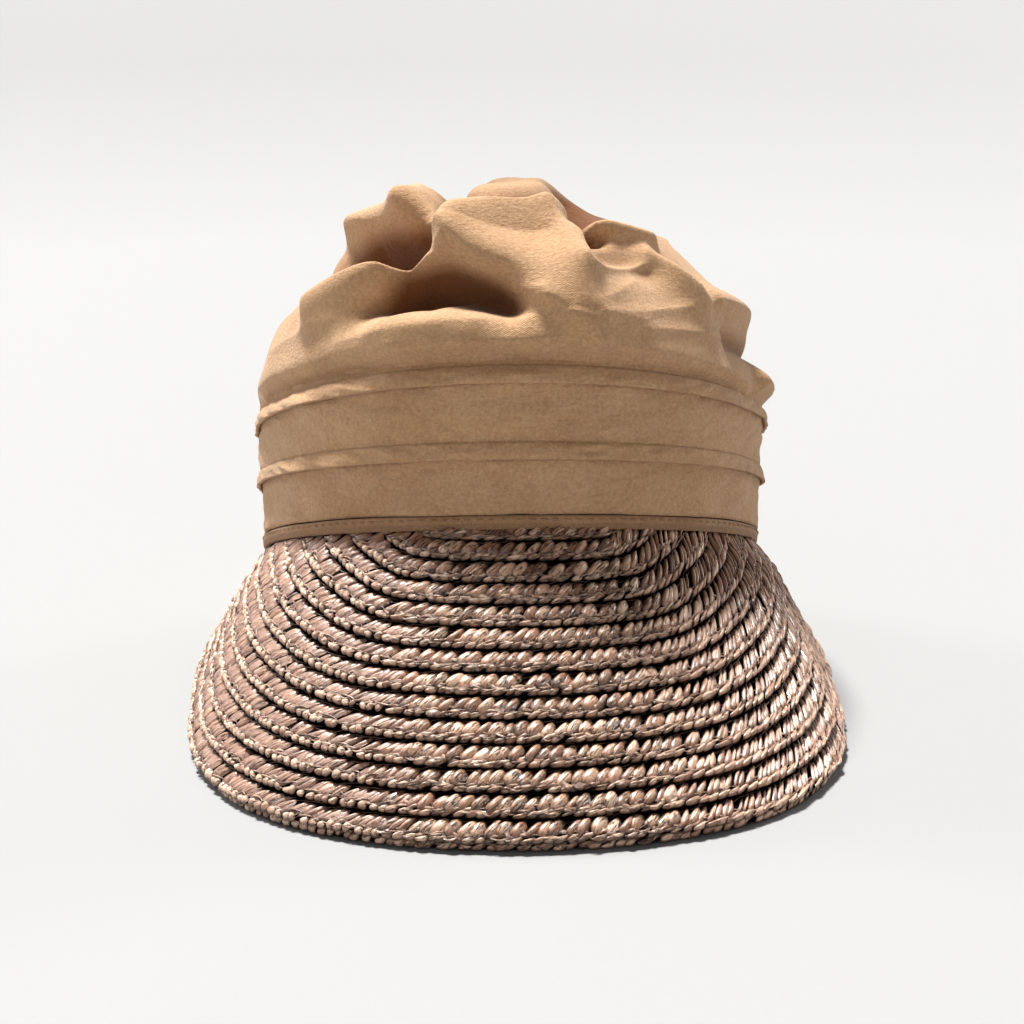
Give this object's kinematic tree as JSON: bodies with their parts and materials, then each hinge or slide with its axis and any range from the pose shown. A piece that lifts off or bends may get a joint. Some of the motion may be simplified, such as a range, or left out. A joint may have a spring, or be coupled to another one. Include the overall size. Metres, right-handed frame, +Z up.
{
  "type": "straw visor",
  "caption": "soft cloth cap with two stitched tucks and a front visor of lapped straw plait, standing on the visor's edge and the back of the hem",
  "frame": {"origin": "middle of the whole box, on the table it stands on", "axes": "+Z up, -Y to the front where the visor points, +X to the wearer's left"},
  "size_m": [0.2072, 0.2628, 0.1653],
  "materials": {
    "cloth": "matt plain-woven cotton, lightly creased",
    "binding_cloth": "matt folded cotton strip, stitched",
    "straw": "plaited split straw, satin",
    "straw_underlay": "plaited split straw, satin, darker"
  },
  "bodies": {
    "root": {"crown": "cloth", "edge_binding": "binding_cloth", "braid_row_01": "straw", "braid_row_02": "straw", "braid_row_03": "straw", "braid_row_04": "straw", "braid_row_05": "straw", "braid_row_06": "straw", "braid_row_07": "straw", "braid_row_08": "straw", "braid_row_09": "straw", "braid_row_10": "straw", "braid_row_11": "straw", "braid_row_12": "straw", "braid_row_13": "straw", "braid_row_14": "straw", "edge_underlay": "straw_underlay"}
  },
  "joints": []
}
